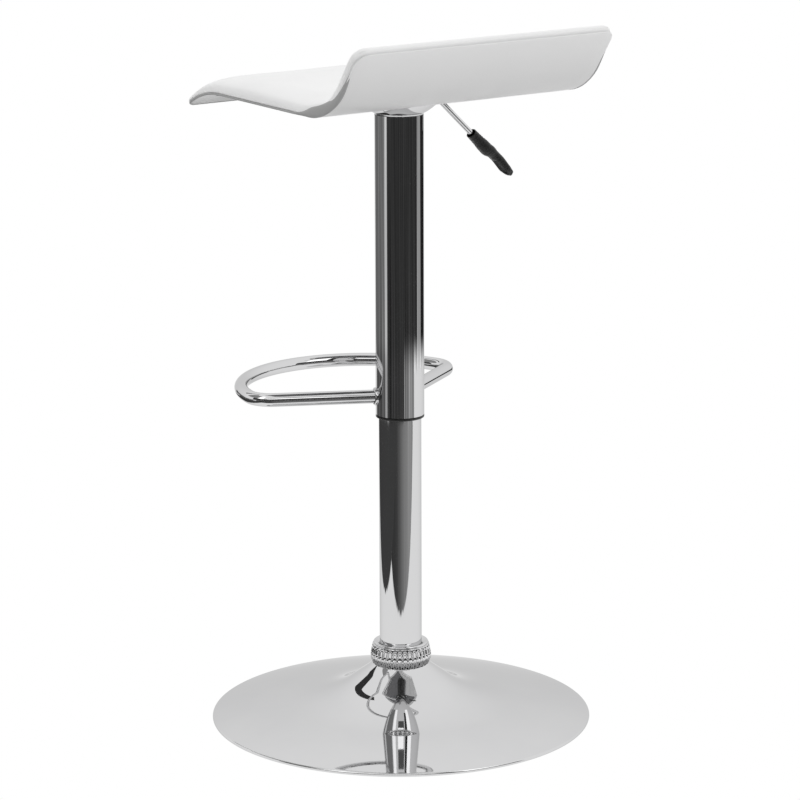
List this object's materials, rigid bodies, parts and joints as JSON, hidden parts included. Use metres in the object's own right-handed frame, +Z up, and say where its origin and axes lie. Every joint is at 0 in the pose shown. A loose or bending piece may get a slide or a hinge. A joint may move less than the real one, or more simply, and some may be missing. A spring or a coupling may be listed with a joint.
{
  "type": "adjustable swivel stool",
  "caption": "Swivel bar stool with a padded wave seat on a gas-lift column, a bent-tube footrest, a release lever and a round chromed base.",
  "frame": {"origin": "on the floor, on the axis of the column and the base", "axes": "+Z up along the column; the sitter faces -Y; the lever is on the -X side, at the sitter's right"},
  "size_m": [0.45, 0.45, 0.8259],
  "materials": {
    "chrome": "mirror-bright chrome plate with fine wipe marks",
    "lever_chrome": "bright plated rod, slightly duller than the column",
    "dark_steel": "dull rolled steel",
    "plate_paint": "satin black paint with fine orange peel",
    "cast_iron": "rough casting skin",
    "bright_steel": "ground steel",
    "zinc": "zinc plate",
    "brass": "turned brass",
    "rubber": "matte rubber",
    "black_bush": "satin black plastic",
    "white_bush": "satin white plastic",
    "grip_plastic": "black plastic with a leather-like moulded grain",
    "plywood": "bent birch plywood with visible plies",
    "white_vinyl": "smooth white vinyl with a fine pebble grain",
    "back_vinyl": "white vinyl of the back and the underside, fine pebble grain",
    "edge_vinyl": "grey vinyl edge binding"
  },
  "bodies": {
    "base": {"base_cover": "chrome", "ballast_plate": "dark_steel", "ballast_ring": "cast_iron", "base_hub": "dark_steel", "hub_screws": "zinc", "floor_ring": "rubber", "column_collar": "chrome", "lower_column": "chrome", "column_foot": "bright_steel", "guide_bush": "white_bush", "bearing_lower_race": "bright_steel", "bearing_balls": "bright_steel", "bearing_cage": "brass"},
    "rod": {"piston_rod": "bright_steel", "piston": "bright_steel", "piston_seal": "rubber", "bearing_upper_race": "bright_steel", "rubber_buffer": "rubber", "rod_washer": "zinc", "rod_clip": "zinc"},
    "lift": {"gas_cylinder": "dark_steel", "cylinder_gland": "black_bush", "valve_block": "brass", "outer_tube": "chrome", "tube_bush": "black_bush", "footrest_hoop": "chrome", "top_bell": "chrome", "taper_socket": "dark_steel", "seat_plate": "plate_paint", "lever_bracket": "bright_steel", "lever_pin": "zinc", "pin_clip": "zinc", "seat_screws": "zinc", "screw_washers": "zinc", "tee_nuts": "zinc", "mount_board": "plywood", "seat_shell": "plywood", "seat_cover": "back_vinyl", "seat_pad": "white_vinyl", "edge_binding": "edge_vinyl"},
    "lever": {"lever_rod": "lever_chrome", "lever_grip": "grip_plastic"},
    "valve": {"release_pin": "bright_steel"}
  },
  "joints": [
    {"name": "seat_swivel", "type": "hinge", "parent": "base", "child": "rod", "pos_m": [0, 0, 0.02], "axis": [0, 0, 1], "continuous": true},
    {"name": "height_slide", "type": "slide", "parent": "rod", "child": "lift", "axis": [0, 0, 1], "range_m": [-0.215, 0]},
    {"name": "lever_pivot", "type": "hinge", "parent": "lift", "child": "lever", "pos_m": [-0.032, 0, 0.751], "axis": [0, 1, 0], "range_deg": [0, 6], "stiffness_Nm_per_rad": 1, "springref_deg": -2.86},
    {"name": "valve_press", "type": "slide", "parent": "lift", "child": "valve", "axis": [0, 0, -1], "range_m": [0, 0.0038]}
  ],
  "couplings": [
    {"joint": "valve_press", "follows": "lever_pivot", "m_per_rad": 0.036}
  ]
}
